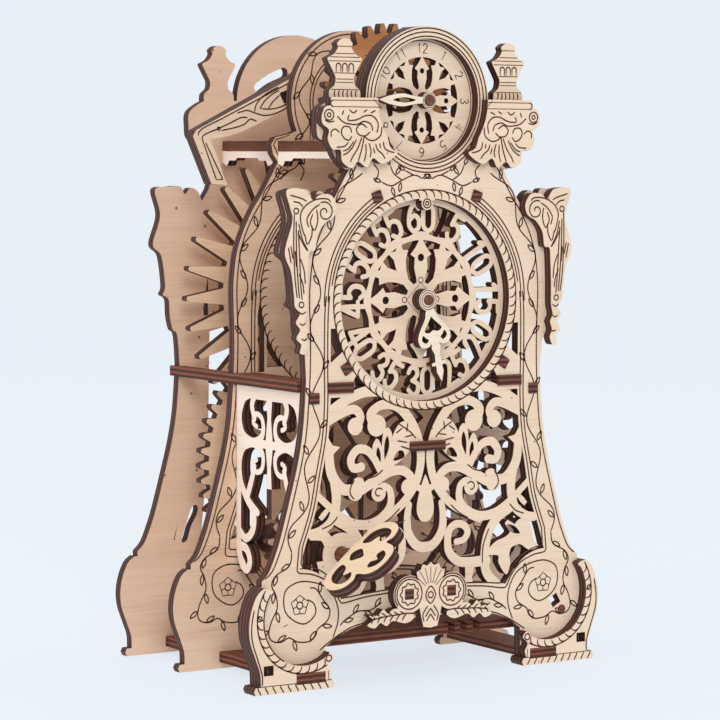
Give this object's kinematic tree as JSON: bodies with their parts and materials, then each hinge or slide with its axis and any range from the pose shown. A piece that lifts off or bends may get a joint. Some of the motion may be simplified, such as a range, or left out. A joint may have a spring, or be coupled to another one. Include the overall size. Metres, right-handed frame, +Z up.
{
  "type": "wooden mechanical mantel clock kit",
  "caption": "Laser-cut plywood mantel clock kit on arched feet, with minute and hour dials, gear train, gables, fretwork and a winding key.",
  "frame": {"origin": "on the floor, under the centre of the whole assembly's box", "axes": "+X right as seen from the front, +Y into the clock, +Z up; the dials face -Y"},
  "size_m": [0.1208, 0.1002, 0.1872],
  "materials": {
    "ply_front": "laser-cut birch veneer, matt",
    "ply_back": "laser-cut birch veneer, matt, in shade",
    "ply_pale": "pale veneer, matt",
    "ply_edge": "burnt laser-cut plywood edge",
    "dowel": "dark turned dowel"
  },
  "bodies": {
    "case": {"front_plate": "ply_front", "middle_plate": "ply_back", "back_plate": "ply_back", "palmette": "ply_front", "minute_dial": "ply_front", "hour_dial": "ply_front", "foot_scroll_left": "ply_front", "foot_scroll_right": "ply_front", "wing_left": "ply_front", "wing_right": "ply_front", "corbel_left": "ply_front", "corbel_right": "ply_front", "side_fret_left": "ply_back", "side_fret_right": "ply_back", "side_shelf_left": "ply_edge", "side_shelf_right": "ply_edge", "bottom_plank_left": "ply_edge", "bottom_plank_right": "ply_edge", "roof_rail_left": "ply_edge", "roof_rail_right": "ply_edge", "cornice_front_left": "ply_back", "cornice_front_right": "ply_back", "cornice_rear_left": "ply_back", "cornice_rear_right": "ply_back", "gable_front_left": "ply_back", "gable_front_right": "ply_back", "gable_rear_left": "ply_back", "gable_rear_right": "ply_back", "base_board": "ply_edge", "square_pegs": "ply_edge", "dial_wedges": "ply_edge", "cross_bar": "ply_edge", "gable_spacers": "ply_edge", "spiral_plug": "dowel", "idler_post": "dowel"},
    "great_train": {"great_wheel": "ply_back", "winding_wheel": "ply_back", "great_arbor": "dowel", "drum_core": "ply_back", "drum_flange": "ply_back", "great_collars": "ply_back"},
    "minute_train": {"sunburst_wheel": "ply_back", "drive_pinion": "ply_back", "motion_pinion": "ply_back", "minute_arbor": "dowel", "minute_hand": "ply_pale", "minute_hub": "ply_pale", "minute_front_collar": "ply_back", "minute_rear_collars": "ply_back"},
    "idler_train": {"idler_wheel": "ply_back", "idler_pinion": "ply_back", "idler_spacer": "ply_back"},
    "hour_train": {"hour_wheel": "ply_back", "hour_arbor": "dowel", "hour_hand": "ply_pale", "hour_collars": "ply_back"},
    "key_train": {"winding_key": "ply_front", "key_arbor": "dowel", "key_pinion": "ply_back", "key_collars": "ply_back"}
  },
  "joints": [
    {"name": "great_spin", "type": "hinge", "parent": "case", "child": "great_train", "pos_m": [0, 0, 0.0577], "axis": [0, 1, 0], "continuous": true},
    {"name": "minute_spin", "type": "hinge", "parent": "case", "child": "minute_train", "pos_m": [0, 0, 0.1081], "axis": [0, 1, 0], "continuous": true},
    {"name": "idler_spin", "type": "hinge", "parent": "case", "child": "idler_train", "pos_m": [0, 0, 0.13645], "axis": [0, 1, 0], "continuous": true},
    {"name": "hour_spin", "type": "hinge", "parent": "case", "child": "hour_train", "pos_m": [0, 0, 0.1648], "axis": [0, 1, 0], "continuous": true},
    {"name": "key_spin", "type": "hinge", "parent": "case", "child": "key_train", "pos_m": [-0.0285, 0, 0.037], "axis": [0, 1, 0], "continuous": true}
  ],
  "couplings": [
    {"joint": "minute_spin", "follows": "great_spin", "ratio": -5},
    {"joint": "idler_spin", "follows": "great_spin", "ratio": 1.25},
    {"joint": "hour_spin", "follows": "great_spin", "ratio": -0.41667},
    {"joint": "key_spin", "follows": "great_spin", "ratio": -3.1667}
  ]
}
